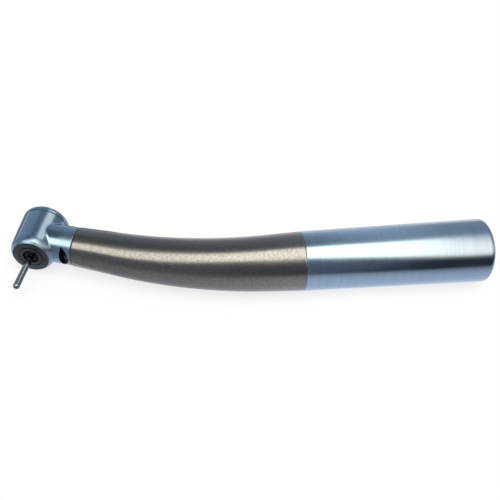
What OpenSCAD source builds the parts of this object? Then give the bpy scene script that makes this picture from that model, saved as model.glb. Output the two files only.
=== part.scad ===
// High speed dental handpiece: a bent handle of two sleeves, an air turbine head and a bur.
// It lies on its side. X runs out of the coupling socket, and the bend and the bur lie in the XY plane.

/* [Handle] */
// Length of the rear sleeve
rear_l = 48.2; // [44:0.1:54]
// Radius of the rear sleeve at its open end
rear_r = 8.2; // [8:0.05:9]
// Radius of both sleeves where they meet
joint_r = 7.5; // [7.4:0.05:7.9]
// Rounding of the open end
rear_round = 1.35; // [0.6:0.05:1.4]
// Straight run of the grip sleeve behind the bend
grip_straight = 8.8; // [8.4:0.1:14]
// Radius of the bend along the centreline
bend_r = 110; // [80:1:150]
// Angle of the bend
bend_a = 19; // [12:0.5:25]
// Straight run of the grip sleeve ahead of the bend
fore_l = 11.2; // [8:0.1:16]
// Radius of the grip sleeve at its front end
tip_r = 4.95; // [4.85:0.05:5.5]
// Wall of the grip sleeve between its two joints
grip_wall = 0.9; // [0.7:0.05:1.1]

/* [Sleeve joints] */
// Length of the rear sleeve's spigot inside the grip sleeve
spigot_l = 8; // [6:0.1:8.2]
// Step from the surface of the sleeves down to the spigot
spigot_step = 1.05; // [0.9:0.05:1.2]
// Wall of the spigot
spigot_wall = 1.25; // [1.1:0.05:1.5]
// Distance of the joint's seal from the shoulder
seal_inset = 4; // [2:0.1:5]
// Radius of the seal's cord
seal_cord_r = 0.38; // [0.3:0.01:0.42]
// Clearance of the seals in their grooves
groove_c = 0.05; // [0.02:0.01:0.06]
// Bevel on the edges where outer pieces meet
edge_bevel = 0.15; // [0.05:0.01:0.25]
// Radial clearance of fixed fits
fit_c = 0.03; // [0.02:0.005:0.05]

/* [Coupling socket] */
// Radius of the socket's bore
socket_r = 4.75; // [4.4:0.05:4.9]
// Length of the socket's bore
socket_l = 20; // [15:0.5:22]
// Wall of the socket
socket_wall = 1.5; // [1.2:0.05:1.55]
// Radius of the narrower bore behind the main bore
socket_nose_r = 3.8; // [3.7:0.05:4.2]
// Length of the narrower bore
socket_nose_l = 5; // [3:0.1:7]
// Distance of the locking groove from the mouth
lock_inset = 6; // [3:0.1:10]
// Width of the locking groove
lock_w = 1.2; // [0.8:0.1:1.6]
// Depth of the locking groove
lock_d = 0.5; // [0.3:0.05:0.7]
// Inset of the socket's face from the open end
mouth_inset = 0.5; // [0.2:0.05:1]
// Bevel of the socket's mouth
mouth_bevel = 0.4; // [0.2:0.05:0.6]
// Length of the socket's threaded flange
flange_l = 2.6; // [2:0.1:4]
// Step of the threaded flange beyond the socket's wall
flange_step = 0.32; // [0.2:0.02:0.36]
// Width of the spanner slots in the flange
slot_w = 1.4; // [1:0.1:2]
// Depth of the spanner slots
slot_d = 0.8; // [0.5:0.1:1.2]
// Wall between the mouth and the spanner slots
slot_inset = 0.25; // [0.2:0.05:0.5]
// Thickness of the plate that holds the tube ends
plate_t = 3.5; // [2.5:0.1:5]
// Depth of the tubes' rear ends in the plate
plate_seat = 3; // [2:0.1:3.2]

/* [Tubes] */
// Outer radius of the drive air tube
drive_r = 1.2; // [1:0.05:1.3]
// Wall of the drive air tube
drive_wall = 0.25; // [0.15:0.01:0.35]
// Sideways offset of the drive air tube
drive_x = 2.1; // [1.95:0.05:2.2]
// Radius of the exhaust passages
exhaust_r = 1.1; // [0.8:0.05:1.2]
// Outer radius of the water and chip air tubes
small_r = 0.55; // [0.45:0.01:0.6]
// Wall of the water and chip air tubes
small_wall = 0.15; // [0.1:0.01:0.2]
// Sideways offset of the water and chip air tubes
small_x = 1.55; // [1.45:0.05:1.65]
// Offset of the water and chip air tubes towards the bur
small_y = 2.2; // [2.1:0.05:2.3]
// Radius of the light guide
guide_r = 0.6; // [0.45:0.01:0.65]
// Offset of the light guide towards the bur
guide_y = 2.95; // [2.8:0.05:3]
// Depth of the tubes' front ends in the neck
tube_seat = 3; // [2:0.1:4]

/* [Neck] */
// Distance from the sleeve's front end to the head's axis
head_reach = 10.4; // [9.8:0.1:12]
// Lean of the head's axis from square to the neck
head_lean = 4.5; // [0:0.5:8]
// Radius of the neck
neck_r = 4.85; // [4.7:0.05:4.95]
// Length of the neck's spigot inside the grip sleeve
neck_spigot_l = 5; // [4.2:0.1:6.5]
// Step from the sleeve's surface down to the neck's spigot
neck_step = 0.95; // [0.9:0.05:1]
// Thickness of the gasket between neck and sleeve
gasket_t = 0.3; // [0.2:0.05:0.5]
// Inset of the gasket from the sleeve's surface
gasket_inset = 0.2; // [0.1:0.02:0.3]
// Start of the light port's facet ahead of the sleeve
port_start = 0.75; // [0.6:0.05:1.2]
// Depth of the light port's notch
port_depth = 1.1; // [0.8:0.05:1.2]
// Angle between the port's facet and the neck
port_a = 30; // [28:1:36]
// Length of the notch's front wall along the neck
port_front = 0.45; // [0.3:0.05:0.9]
// Radius of the light window
window_r = 0.55; // [0.4:0.01:0.6]
// Length of the light window's rod
window_l = 1.6; // [1.3:0.05:1.7]

/* [Head] */
// Height of the neck's axis over the lower rim
rim_drop = 5.6; // [5.4:0.05:6.2]
// Radius of the lower rim
rim_r = 4.99; // [4.85:0.02:5.2]
// Radius of the lower face inside its bevel
face_r = 4.5; // [4.2:0.05:4.6]
// Height of the bevel between face and rim
face_bevel = 0.55; // [0.3:0.05:0.8]
// Radius of the wall where its lower rounding ends
wall_low_r = 5.46; // [5.4:0.02:5.7]
// Height of the lower rounding
low_round = 1.9; // [1.2:0.1:2.4]
// Height of the lower rounding's corner, as a share of the rounding
low_bulge = 0.35; // [0.25:0.05:0.5]
// Radius of the wall where its upper rounding begins
wall_top_r = 5.92; // [5.8:0.02:6.3]
// Height of the cap's top over the neck's axis
cap_top = 7; // [6.4:0.05:7.2]
// Radius of the upper rounding
top_round = 1.45; // [1:0.05:1.6]
// Height of the cap's visible part
cap_h = 2.1; // [1.6:0.05:2.2]
// Thickness of the lower wall
floor_t = 1.1; // [0.9:0.05:1.3]
// Radius of the turbine chamber
chamber_r = 4.75; // [4.7:0.05:4.9]
// Wall of the cap's threaded skirt
skirt_wall = 0.37; // [0.3:0.01:0.45]
// Thickness of the cap's lip over the button
lip_t = 0.6; // [0.5:0.05:0.7]
// Outer radius of the ring in the lower face
nose_ring_r = 3; // [2.9:0.05:3.1]
// Radius of the opening around the spindle
nose_hole_r = 1.95; // [1.85:0.05:2.2]
// Thickness of the flange that holds the ring in the lower face
nose_flange_t = 0.4; // [0.3:0.05:0.5]
// Radius of the spray hole
spray_r = 0.24; // [0.15:0.01:0.26]
// Distance of the spray hole from the head's axis
spray_out = 3.52; // [3.45:0.02:3.6]
// Turn of the spray hole around the head's axis from the neck's side
spray_turn = 10; // [0:1:14]
// Distance of the spray passages' upper ends from the chamber
spray_wall = 0.45; // [0.4:0.05:0.5]
// Drop of the spray passages' upper ends below the chamber
spray_drop = 0.25; // [0.1:0.05:0.4]
// Wall left between the tubes' passages and the chamber
passage_wall = 0.2; // [0.15:0.05:0.25]

/* [Turbine] */
// Outer radius of the ball bearings
bearing_r = 3.175; // [3.1:0.005:3.2]
// Radius of the spindle in the bearings
spindle_r = 1.58; // [1.5:0.01:1.62]
// Width of the ball bearings
bearing_w = 2.38; // [2.3:0.02:2.42]
// Radial clearance of the bearings in their seats
seat_c = 0.05; // [0.03:0.01:0.08]
// Radius of the bearing balls
ball_r = 0.5; // [0.4:0.01:0.52]
// Half opening between a bearing's rings, as a share of the ball's radius
race_open = 0.76; // [0.72:0.01:0.8]
// Number of balls in a bearing
ball_n = 8; // [6:1:9]
// Running clearance of the balls
ball_c = 0.02; // [0.01:0.005:0.04]
// Gap between a cage and the rings around it
cage_gap = 0.12; // [0.08:0.01:0.15]
// Inset of a cage from the bearing's face
cage_inset = 0.25; // [0.15:0.05:0.4]
// Thickness of the shoulder over the rear bearing
shoulder_t = 0.25; // [0.2:0.01:0.3]
// Height left for the preload washer
washer_h = 0.2; // [0.16:0.01:0.3]
// Thickness of the preload washer
washer_t = 0.08; // [0.05:0.01:0.1]
// Radius of the bearing seals' cord
oring_cord_r = 0.28; // [0.22:0.01:0.3]
// Running gap around the impeller
impeller_gap = 0.3; // [0.2:0.02:0.4]
// Number of impeller blades
blade_n = 10; // [8:1:12]
// Thickness of an impeller blade
blade_t = 0.42; // [0.3:0.02:0.6]
// Radius of the curve of a blade
blade_curve = 2.2; // [1.8:0.1:3]
// Radius of the spindle between the bearings
shaft_r = 2.05; // [1.95:0.05:2.2]
// Wall of the impeller's hub
hub_wall = 0.55; // [0.4:0.05:0.7]
// Inset of the spindle's nose from the lower face
nose_inset = 0.2; // [0.1:0.05:0.4]

/* [Chuck and bur] */
// Radius of the bur's shank
bur_r = 0.8; // [0.75:0.01:0.82]
// Reach of the bur below the lower rim
bur_reach = 11.1; // [8:0.1:13]
// Length of the bur
bur_l = 17.6; // [14:0.1:17.8]
// Running clearance of the bur in the chuck
bur_c = 0.02; // [0.01:0.005:0.03]
// Radius of the bore that holds the chuck
chuck_r = 1.22; // [1.18:0.01:1.28]
// Length of the spindle's nose below the chuck
nose_l = 1.35; // [0.8:0.05:2]
// Height of the chuck's flared mouth over the bur
mouth_h = 0.45; // [0.3:0.05:0.6]
// Widening of the flared mouth
mouth_flare = 0.18; // [0.1:0.01:0.22]
// Width of the slits between the chuck's fingers
slit_w = 0.25; // [0.15:0.01:0.35]
// Length of the slits
slit_l = 2.8; // [1.5:0.1:3.5]
// Number of the chuck's fingers
finger_n = 3; // [2:1:4]

/* [Push button] */
// Radius of the push button
button_r = 3.6; // [3.2:0.05:3.8]
// Height of the button's crown over the cap
button_crown = 0.25; // [0.1:0.05:0.4]
// Running clearance of the button in the cap
button_c = 0.08; // [0.04:0.01:0.1]
// Step of the flange that holds the button in
button_step = 0.55; // [0.4:0.05:0.6]
// Thickness of the button's flange
button_flange_t = 0.5; // [0.3:0.05:0.55]
// Travel of the button
button_travel = 0.6; // [0.3:0.05:0.6]
// Free gap between the button and the plunger
button_play = 0.15; // [0.1:0.01:0.2]
// Thickness of the web under the button
web_t = 0.5; // [0.4:0.05:0.6]
// Radius of the button's boss
boss_r = 1.2; // [0.9:0.05:1.3]
// Height of the boss's end over the web's underside
boss_lift = 0.35; // [0.3:0.01:0.4]
// Gap around the boss in the web
boss_gap = 0.5; // [0.3:0.05:0.6]
// Running clearance of the plunger
plunger_c = 0.05; // [0.03:0.01:0.08]
// Height of the plunger's head
plunger_head_h = 1.2; // [1:0.05:1.4]
// Radius of the plunger's stem
stem_r = 0.5; // [0.4:0.02:0.6]
// Height of the wedge at the plunger's tip
wedge_h = 0.35; // [0.2:0.05:0.5]
// Step of the wedge from the stem
wedge_step = 0.06; // [0.04:0.01:0.1]
// Rest height of the plunger's tip over the bur
plunger_lift = 0.62; // [0.55:0.02:0.7]
// Wire radius of the two springs
wire_r = 0.11; // [0.08:0.01:0.12]
// Clearance around the button's spring
spring_c = 0.2; // [0.1:0.05:0.3]
// Turns of the chuck's spring
chuck_turns = 3; // [2:0.5:3.5]
// Turns of the button's spring
button_turns = 2.5; // [1.5:0.5:3]

/* [Hidden] */
$fn = 64;
// Reach of a cut beyond the face that it opens
cut = 0.05;
// Gap left between faces that rest on each other
touch = 0.02;
// Sides and bend steps of the swept pieces, and of a coil's turn and wire
sleeve_sides = 48;
sleeve_bore_sides = 36;
sleeve_steps = 12;
pipe_sides = 16;
pipe_steps = 8;
coil_steps = 24;
coil_sides = 6;

// Handle: distances along the centreline from the open end
straight_l = rear_l + grip_straight;
bend_l = bend_r * bend_a * PI / 180;
bend_end = straight_l + bend_l;
seam = bend_end + fore_l;
bend_end_at = [-straight_l - bend_r * sin(bend_a), bend_r * (1 - cos(bend_a)), 0];
mouth = mouth_inset + mouth_bevel;
spigot_r = joint_r - spigot_step;
spigot_bore = spigot_r - spigot_wall;
socket_out = socket_r + socket_wall;
flange_r = socket_out + flange_step;
flange_end = mouth_inset + flange_l;
socket_end = mouth + socket_l + socket_nose_l;
plate_end = socket_end + plate_t;
tube_start = plate_end - plate_seat;
neck_spigot_r = tip_r - neck_step;
tube_end = seam - neck_spigot_l + tube_seat;
drive_bore = drive_r - drive_wall;
small_bore = small_r - small_wall;

// Head: heights along its axis from the neck's axis, towards the button
rim_z = -rim_drop;
face_z = rim_z - face_bevel;
floor_z = face_z + floor_t;
wall_low_z = rim_z + low_round;
wall_top_z = cap_top - top_round;
cap_seam = cap_top - cap_h;
lip_z = cap_top - lip_t;
front_z = floor_z + washer_h;
ledge_z = front_z + bearing_w;
web_top = lip_z - button_flange_t - button_travel - 2 * (wire_r + touch);
web_z = web_top - web_t;
rear_top = web_z - shoulder_t;
rear_z = rear_top - bearing_w;
impeller_z = ledge_z + impeller_gap;
impeller_top = rear_z - impeller_gap;
impeller_r = chamber_r - impeller_gap;
seat_r = bearing_r + seat_c;
groove_r = seat_r + 2 * oring_cord_r + groove_c;
race_mid = (bearing_r + spindle_r) / 2;
race_half = race_open * ball_r;
skirt_r = chamber_r - fit_c;
pocket_r = skirt_r - skirt_wall;
cup_r = pocket_r - fit_c;
nose_z = face_z + nose_inset;
chuck_z = nose_z + nose_l;
nose_bore = bur_r + 2 * bur_c;
bur_tip = rim_z - bur_reach;
bur_top = bur_tip + bur_l;
chuck_top = bur_top + mouth_h;
plunger_tip = bur_top + plunger_lift;
flange_z = lip_z - button_flange_t;
boss_z = web_z + boss_lift;
plunger_top = boss_z - button_play;
plunger_z = plunger_top - plunger_head_h;
nose_flange_z = floor_z - nose_flange_t;
head_at = neck_point(head_reach);
head_a = bend_a - head_lean;
// Light port on the underside of the neck: a facet that faces the bur and a short front wall
port_run = port_depth / tan(port_a);
port_root = [port_start + port_run, port_depth - neck_r];
port_mid = [port_start + port_run / 2, port_depth / 2 - neck_r];
guide_end = port_mid.x - window_l * sin(port_a) - window_r * cos(port_a) - cut;

function mix(a, b, t) = a + (b - a) * t;
function curve(a, b, c, n) = [for (i = [0:n]) mix(mix(a, b, i / n), mix(b, c, i / n), i / n)];
function arc(centre, r, from, to, n) =
  [for (i = [0:n]) let (a = mix(from, to, i / n)) centre + r * [cos(a), sin(a)]];
function neck_point(d) = bend_end_at + (fore_l + d) * [-cos(bend_a), sin(bend_a), 0];
function turn_at(s) = max(0, min(bend_a, (s - straight_l) / bend_r * 180 / PI));
function axis_at(s) =
  s < straight_l ? [-s, 0, 0]
  : s > bend_end ? neck_point(s - seam)
  : [-straight_l - bend_r * sin(turn_at(s)), bend_r * (1 - cos(turn_at(s))), 0];
function rear_at(s) = mix(rear_r, joint_r, s / rear_l);
function grip_at(s) = mix(joint_r, tip_r, (s - rear_l) / (seam - rear_l));
function wall_at(z) = mix(wall_low_r, wall_top_r, (z - wall_low_z) / (wall_top_z - wall_low_z));

// Closed skin over rings of points, each ring with the same number of sides
module skin(rings) {
  n = len(rings[0]);
  last = len(rings) - 1;
  sides = [for (i = [0:last - 1], j = [0:n - 1]) let (k = (j + 1) % n, a = i * n, b = a + n)
    each [[a + j, b + j, b + k], [a + j, b + k, a + k]]];
  ends = [[for (j = [0:n - 1]) j], [for (j = [n - 1:-1:0]) last * n + j]];
  polyhedron(points = [for (ring = rings) each ring], faces = concat(sides, ends));
}
// One ring around the centreline, or around a path beside it: x is sideways, y is towards the bur
function path_ring(s, r, sides, x = 0, y = 0) = [for (j = [0:sides - 1])
  let (a = -360 * j / sides, t = turn_at(s))
  axis_at(s) + (r * cos(a) - y) * [sin(t), cos(t), 0] + [0, 0, x + r * sin(a)]];
// Stations along the bend, between two distances from the open end
function stations(from, to, steps) =
  concat([from], [for (i = [0:steps]) mix(straight_l, bend_end, i / steps)], [to]);
// Rings of a coil that climbs along Z, with its radius changing from one end to the other
function coil(r0, r1, z0, z1, turns) = [for (i = [0:coil_steps * turns])
  let (t = i / (coil_steps * turns), a = 360 * turns * t, r = mix(r0, r1, t))
  [for (j = [0:coil_sides - 1]) let (b = -360 * j / coil_sides, w = r + wire_r * cos(b))
    [w * cos(a), w * sin(a), mix(z0, z1, t) + wire_r * sin(b)]]];

// Frames of the handle, the neck and the head
module placed() {
  translate([mouth, 0, 0]) children();
}
module along_handle(s = 0) {
  placed() translate([-s, 0, 0]) rotate([0, -90, 0]) children();
}
module along_neck(d = 0) {
  placed() translate(neck_point(d)) rotate([0, 0, -bend_a]) rotate([0, -90, 0]) children();
}
module on_head() {
  placed() translate(head_at) rotate([0, 0, -head_a]) rotate([-90, 0, 0]) children();
}

// Shapes that repeat
module ring(r_out, r_in, z0, z1) {
  rotate_extrude() translate([r_in, z0]) square([r_out - r_in, z1 - z0]);
}
module cord_ring(r, cord_r, z) {
  rotate_extrude() translate([r, z]) circle(cord_r, $fn = 32);
}
module bore(r, z0, z1) {
  translate([0, 0, z0]) cylinder(r = r, h = z1 - z0);
}
// Groove for a seal whose cord lies at height z
module seal_groove(r_out, r_in, z, cord_r) {
  ring(r_out, r_in, z - cord_r - groove_c, z + cord_r + groove_c);
}
// Pipe or rod that follows the centreline from the plate, offset by x sideways and y towards the bur
module pipe(r_out, r_in, x, y, to) {
  outer = [for (s = stations(tube_start, to, pipe_steps)) path_ring(s, r_out, pipe_sides, x, y)];
  inner = [for (s = stations(tube_start - cut, to + cut, pipe_steps)) path_ring(s, r_in, pipe_sides, x, y)];
  placed() difference() {
    skin(outer);
    if (r_in > 0) skin(inner);
  }
}

module rear_sleeve() {
  round_c = [rear_at(rear_round) - rear_round, rear_round];
  outside = concat(
    arc(round_c, rear_round, -90, 0, 10),
    [[rear_at(rear_l - edge_bevel), rear_l - edge_bevel], [joint_r - edge_bevel, rear_l], [spigot_r, rear_l],
     [spigot_r, rear_l + spigot_l - edge_bevel], [spigot_r - edge_bevel, rear_l + spigot_l]]);
  inside = [[spigot_bore, rear_l + spigot_l], [spigot_bore, plate_end], [socket_out + fit_c, plate_end],
    [socket_out + fit_c, flange_end], [flange_r + fit_c, flange_end], [flange_r + fit_c, 0]];
  color([0.62, 0.66, 0.7]) along_handle() difference() {
    rotate_extrude() polygon(concat(outside, inside));
    seal_groove(spigot_r + cut, spigot_r - 2 * seal_cord_r - groove_c, rear_l + seal_inset, seal_cord_r);
  }
}
module grip_sleeve() {
  body = [for (s = stations(rear_l + edge_bevel, seam - edge_bevel, sleeve_steps))
    path_ring(s, grip_at(s), sleeve_sides)];
  outer = concat([path_ring(rear_l, joint_r - edge_bevel, sleeve_sides)], body,
    [path_ring(seam, tip_r - edge_bevel, sleeve_sides)]);
  inner = [for (s = stations(rear_l + spigot_l, seam - neck_spigot_l, sleeve_steps))
    path_ring(s, grip_at(s) - grip_wall, sleeve_bore_sides)];
  color([0.36, 0.35, 0.33]) difference() {
    placed() skin(outer);
    placed() skin(inner);
    along_handle() bore(spigot_r + fit_c, rear_l - cut, rear_l + spigot_l + cut);
    along_neck() bore(neck_spigot_r + fit_c, -neck_spigot_l - cut, cut);
  }
}
module joint_seal() {
  color([0.1, 0.1, 0.1]) along_handle() cord_ring(spigot_r - seal_cord_r, seal_cord_r, rear_l + seal_inset);
}

module coupling_socket() {
  body = [[socket_r + mouth_bevel, mouth_inset], [flange_r, mouth_inset], [flange_r, flange_end - fit_c],
    [socket_out, flange_end - fit_c], [socket_out, socket_end], [socket_nose_r, socket_end],
    [socket_nose_r, mouth + socket_l], [socket_r, mouth + socket_l], [socket_r, mouth]];
  color([0.7, 0.71, 0.72]) along_handle() difference() {
    rotate_extrude() polygon(body);
    ring(socket_r + lock_d, socket_r - cut, mouth + lock_inset, mouth + lock_inset + lock_w);
    for (a = [0, 180]) rotate(a)
      translate([socket_r + mouth_bevel + slot_inset, -slot_w / 2, mouth_inset - cut])
        cube([flange_r, slot_w, slot_d + cut]);
  }
}
// Places and sizes of the passages through the plate, the tubes and the neck
module passages(drive, exhaust, small, guide, z0, z1) {
  translate([drive_x, 0, 0]) bore(drive, z0, z1);
  translate([-drive_x, 0, 0]) bore(exhaust, z0, z1);
  for (x = [-small_x, small_x]) translate([x, -small_y, 0]) bore(small, z0, z1);
  translate([0, -guide_y, 0]) bore(guide, z0, z1);
}
module tube_plate() {
  color([0.72, 0.62, 0.36]) along_handle() difference() {
    bore(socket_out, socket_end, plate_end);
    passages(drive_bore, exhaust_r, small_bore, guide_r - small_wall, socket_end - cut, plate_end + cut);
    passages(drive_r + fit_c, exhaust_r, small_r + fit_c, guide_r + fit_c, tube_start, plate_end + cut);
  }
}
module drive_air_tube() {
  color([0.75, 0.76, 0.77]) pipe(drive_r, drive_bore, drive_x, 0, tube_end);
}
module chip_air_tube() {
  color([0.75, 0.76, 0.77]) pipe(small_r, small_bore, -small_x, small_y, tube_end);
}
module water_tube() {
  color([0.75, 0.76, 0.77]) pipe(small_r, small_bore, small_x, small_y, tube_end);
}
module light_guide() {
  color([0.85, 0.9, 0.92]) pipe(guide_r, 0, 0, guide_y, seam + guide_end);
}

module port_notch() {
  front = port_root.x + port_front;
  rotate([0, -90, 0]) translate([0, 0, -neck_r]) linear_extrude(2 * neck_r) polygon([
    [port_start - port_run, -neck_r - port_depth], port_root, [front, -neck_r],
    [front, -neck_r - port_depth]]);
}
module at_window() {
  along_neck() translate([0, port_mid.y, port_mid.x]) rotate([90 - port_a, 0, 0]) children();
}
module light_window() {
  color([0.8, 0.86, 0.9]) at_window() bore(window_r, -window_l, 0);
}

module neck_gasket() {
  color([0.05, 0.05, 0.05]) along_neck() ring(tip_r - gasket_inset, neck_spigot_r + fit_c, 0, gasket_t);
}

// Outline of the whole head, wider by grow
module head_outline(grow = 0) {
  foot_z = rim_z + low_round * low_bulge;
  round_c = [wall_at(wall_top_z) - top_round + grow, wall_top_z];
  polygon(concat([[0, face_z], [face_r + grow, face_z]],
    curve([rim_r + grow, rim_z], [wall_at(foot_z) + grow, foot_z], [wall_low_r + grow, wall_low_z], 8),
    arc(round_c, top_round, 0, 90, 12), [[0, cap_top]]));
}
// Fine groove around the joint of shell and cap
module cap_groove() {
  translate([wall_at(cap_seam), cap_seam]) rotate(45) square(edge_bevel * sqrt(2), center = true);
}
// Passages of the neck, which open into the turbine chamber or end at the spray passages
module neck_passages() {
  chamber_end = head_reach - sqrt(chamber_r ^ 2 - (drive_x + max(drive_bore, exhaust_r)) ^ 2) + cut;
  small_end = head_reach - chamber_r - passage_wall;
  seat_end = tube_seat - neck_spigot_l;
  start = -neck_spigot_l - cut;
  translate([drive_x, 0, 0]) bore(drive_bore, start, chamber_end);
  translate([-drive_x, 0, 0]) bore(exhaust_r, start, chamber_end);
  translate([drive_x, 0, 0]) bore(drive_r + fit_c, start, seat_end);
  for (x = [-small_x, small_x]) translate([x, -small_y, 0]) {
    bore(small_bore, start, small_end);
    bore(small_r + fit_c, start, seat_end);
  }
}
module neck() {
  color([0.66, 0.7, 0.74]) difference() {
    along_neck() rotate_extrude() polygon([[0, -neck_spigot_l], [neck_spigot_r - edge_bevel, -neck_spigot_l],
      [neck_spigot_r, edge_bevel - neck_spigot_l], [neck_spigot_r, gasket_t], [neck_r - edge_bevel, gasket_t],
      [neck_r, gasket_t + edge_bevel], [neck_r, head_reach], [0, head_reach]]);
    on_head() rotate_extrude() head_outline(fit_c);
    along_neck() {
      neck_passages();
      translate([0, -guide_y, 0]) bore(guide_r + fit_c, -neck_spigot_l - cut, guide_end + touch);
      port_notch();
    }
    at_window() bore(window_r + fit_c, -window_l - touch, port_depth);
  }
}
module head_shell() {
  spray_foot = [spray_out * cos(spray_turn), spray_out * sin(spray_turn), face_z];
  over = 4 * spray_r;
  color([0.66, 0.7, 0.74]) difference() {
    on_head() rotate_extrude() difference() {
      intersection() {
        head_outline();
        translate([0, face_z - cut]) square([2 * wall_top_r, cap_seam - face_z + cut]);
      }
      cap_groove();
    }
    on_head() {
      bore(chamber_r, ledge_z, cap_top);
      bore(seat_r, nose_flange_z, ledge_z + cut);
      bore(nose_ring_r + fit_c, face_z - cut, ledge_z);
      rotate_extrude() translate([nose_ring_r + fit_c, face_z]) circle(edge_bevel, $fn = 4);
      seal_groove(groove_r, seat_r - cut, front_z + bearing_w / 2, oring_cord_r);
      for (side = [-1, 1]) {
        way = [chamber_r + spray_wall, side * small_x, ledge_z - spray_drop] - spray_foot;
        translate(spray_foot) rotate([0, acos(way.z / norm(way)), atan2(way.y, way.x)])
          bore(spray_r, -over, norm(way));
      }
    }
    along_neck() neck_passages();
  }
}

module nose_ring() {
  color([0.42, 0.42, 0.44]) on_head() rotate_extrude() polygon([[nose_hole_r, face_z],
    [nose_ring_r - edge_bevel, face_z], [nose_ring_r, face_z + edge_bevel], [nose_ring_r, nose_flange_z],
    [seat_r - fit_c, nose_flange_z], [seat_r - fit_c, floor_z], [nose_hole_r, floor_z]]);
}
module preload_washer() {
  r0 = race_mid + race_half + fit_c;
  low = floor_z + touch;
  top = front_z - touch;
  color([0.6, 0.6, 0.58]) on_head() rotate_extrude() polygon([[r0, low], [bearing_r, top - washer_t],
    [bearing_r, top], [r0, low + washer_t]]);
}

// Ball bearing pieces, each with its lower face at height z
module outer_ring(z) {
  on_head() difference() {
    ring(bearing_r, race_mid + race_half, z, z + bearing_w);
    cord_ring(race_mid, ball_r + ball_c, z + bearing_w / 2);
  }
}
module inner_ring(z) {
  on_head() difference() {
    ring(race_mid - race_half, spindle_r + fit_c / 2, z, z + bearing_w);
    cord_ring(race_mid, ball_r + ball_c, z + bearing_w / 2);
  }
}
module balls(z, grow) {
  for (i = [0:ball_n - 1]) rotate(360 * i / ball_n) translate([race_mid, 0, z + bearing_w / 2])
    sphere(ball_r + grow, $fn = 32);
}
module cage(z) {
  half = race_half - cage_gap;
  on_head() difference() {
    ring(race_mid + half, race_mid - half, z + bearing_w / 2 - ball_r, z + bearing_w - cage_inset);
    balls(z, ball_c);
  }
}
module oring(z) {
  on_head() cord_ring(seat_r + oring_cord_r, oring_cord_r, z + bearing_w / 2);
}
module front_oring() {
  color([0.12, 0.12, 0.12]) oring(front_z);
}
module rear_oring() {
  color([0.12, 0.12, 0.12]) oring(rear_z);
}
module front_outer_ring() {
  color([0.78, 0.78, 0.78]) outer_ring(front_z);
}
module rear_outer_ring() {
  color([0.78, 0.78, 0.78]) outer_ring(rear_z);
}
module front_inner_ring() {
  color([0.78, 0.78, 0.78]) inner_ring(front_z);
}
module rear_inner_ring() {
  color([0.78, 0.78, 0.78]) inner_ring(rear_z);
}
module front_balls() {
  color([0.9, 0.9, 0.88]) on_head() balls(front_z, 0);
}
module rear_balls() {
  color([0.9, 0.9, 0.88]) on_head() balls(rear_z, 0);
}
module front_cage() {
  color([0.55, 0.42, 0.25]) cage(front_z);
}
module rear_cage() {
  color([0.55, 0.42, 0.25]) cage(rear_z);
}

module back_cap() {
  color([0.66, 0.7, 0.74]) on_head() difference() {
    rotate_extrude() difference() {
      union() {
        intersection() {
          head_outline();
          translate([0, cap_seam]) square([2 * wall_top_r, cap_h]);
        }
        translate([0, rear_z]) square([skirt_r, cap_seam + cut - rear_z]);
      }
      cap_groove();
    }
    bore(pocket_r, rear_z - cut, lip_z);
    bore(button_r + button_c, lip_z - cut, cap_top + cut);
  }
}
module bearing_cup() {
  color([0.7, 0.7, 0.7]) on_head() difference() {
    bore(cup_r, rear_z, web_top);
    bore(seat_r, rear_z - cut, rear_top);
    bore(race_mid + race_half, rear_top - cut, web_z);
    bore(boss_r + boss_gap, web_z - cut, web_top + cut);
    seal_groove(groove_r, seat_r - cut, rear_z + bearing_w / 2, oring_cord_r);
  }
}
module button_spring() {
  r0 = pocket_r - wire_r - spring_c;
  r1 = boss_r + boss_gap + wire_r + spring_c;
  color([0.7, 0.7, 0.7]) on_head()
    skin(coil(r0, r1, web_top + wire_r + touch, flange_z - wire_r - touch, button_turns));
}
module push_button() {
  crown_r = (button_r ^ 2 + button_crown ^ 2) / (2 * button_crown);
  color([0.66, 0.7, 0.74]) on_head() {
    intersection() {
      bore(button_r, lip_z - cut, cap_top + button_crown);
      translate([0, 0, cap_top + button_crown - crown_r]) sphere(crown_r, $fn = 128);
    }
    bore(button_r + button_step, flange_z, lip_z - touch);
    bore(boss_r, boss_z, flange_z + cut);
  }
}

module spindle() {
  color([0.74, 0.74, 0.75]) on_head() rotate_extrude() polygon([[nose_bore, nose_z],
    [spindle_r - edge_bevel, nose_z], [spindle_r, nose_z + edge_bevel], [spindle_r, ledge_z],
    [shaft_r, ledge_z], [shaft_r, rear_z], [spindle_r, rear_z], [spindle_r, rear_top],
    [chuck_r, rear_top], [chuck_r, chuck_z], [nose_bore, chuck_z]]);
}
module impeller() {
  hub_r = shaft_r + fit_c + hub_wall;
  color([0.5, 0.52, 0.56]) on_head() translate([0, 0, impeller_z])
    linear_extrude(impeller_top - impeller_z) difference() {
      intersection() {
        union() {
          circle(hub_r);
          for (i = [0:blade_n - 1]) rotate(360 * i / blade_n) translate([hub_r - blade_t, -blade_curve])
            difference() {
              circle(blade_curve);
              circle(blade_curve - blade_t);
              translate([-2 * blade_curve, -blade_curve]) square([2 * blade_curve, 2 * blade_curve]);
              translate([-blade_curve, -2 * blade_curve]) square(2 * blade_curve);
            }
        }
        circle(impeller_r);
      }
      circle(shaft_r + fit_c / 2);
    }
}
module chuck() {
  color([0.72, 0.66, 0.48]) on_head() difference() {
    rotate_extrude() polygon([[bur_r + bur_c, chuck_z + fit_c], [chuck_r - fit_c, chuck_z + fit_c],
      [chuck_r - fit_c, chuck_top], [bur_r + bur_c + mouth_flare, chuck_top],
      [bur_r + bur_c, bur_top + fit_c]]);
    for (i = [0:finger_n - 1]) rotate(360 * i / finger_n)
      translate([0, -slit_w / 2, chuck_top - slit_l]) cube([2 * chuck_r, slit_w, slit_l + cut]);
  }
}
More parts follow.
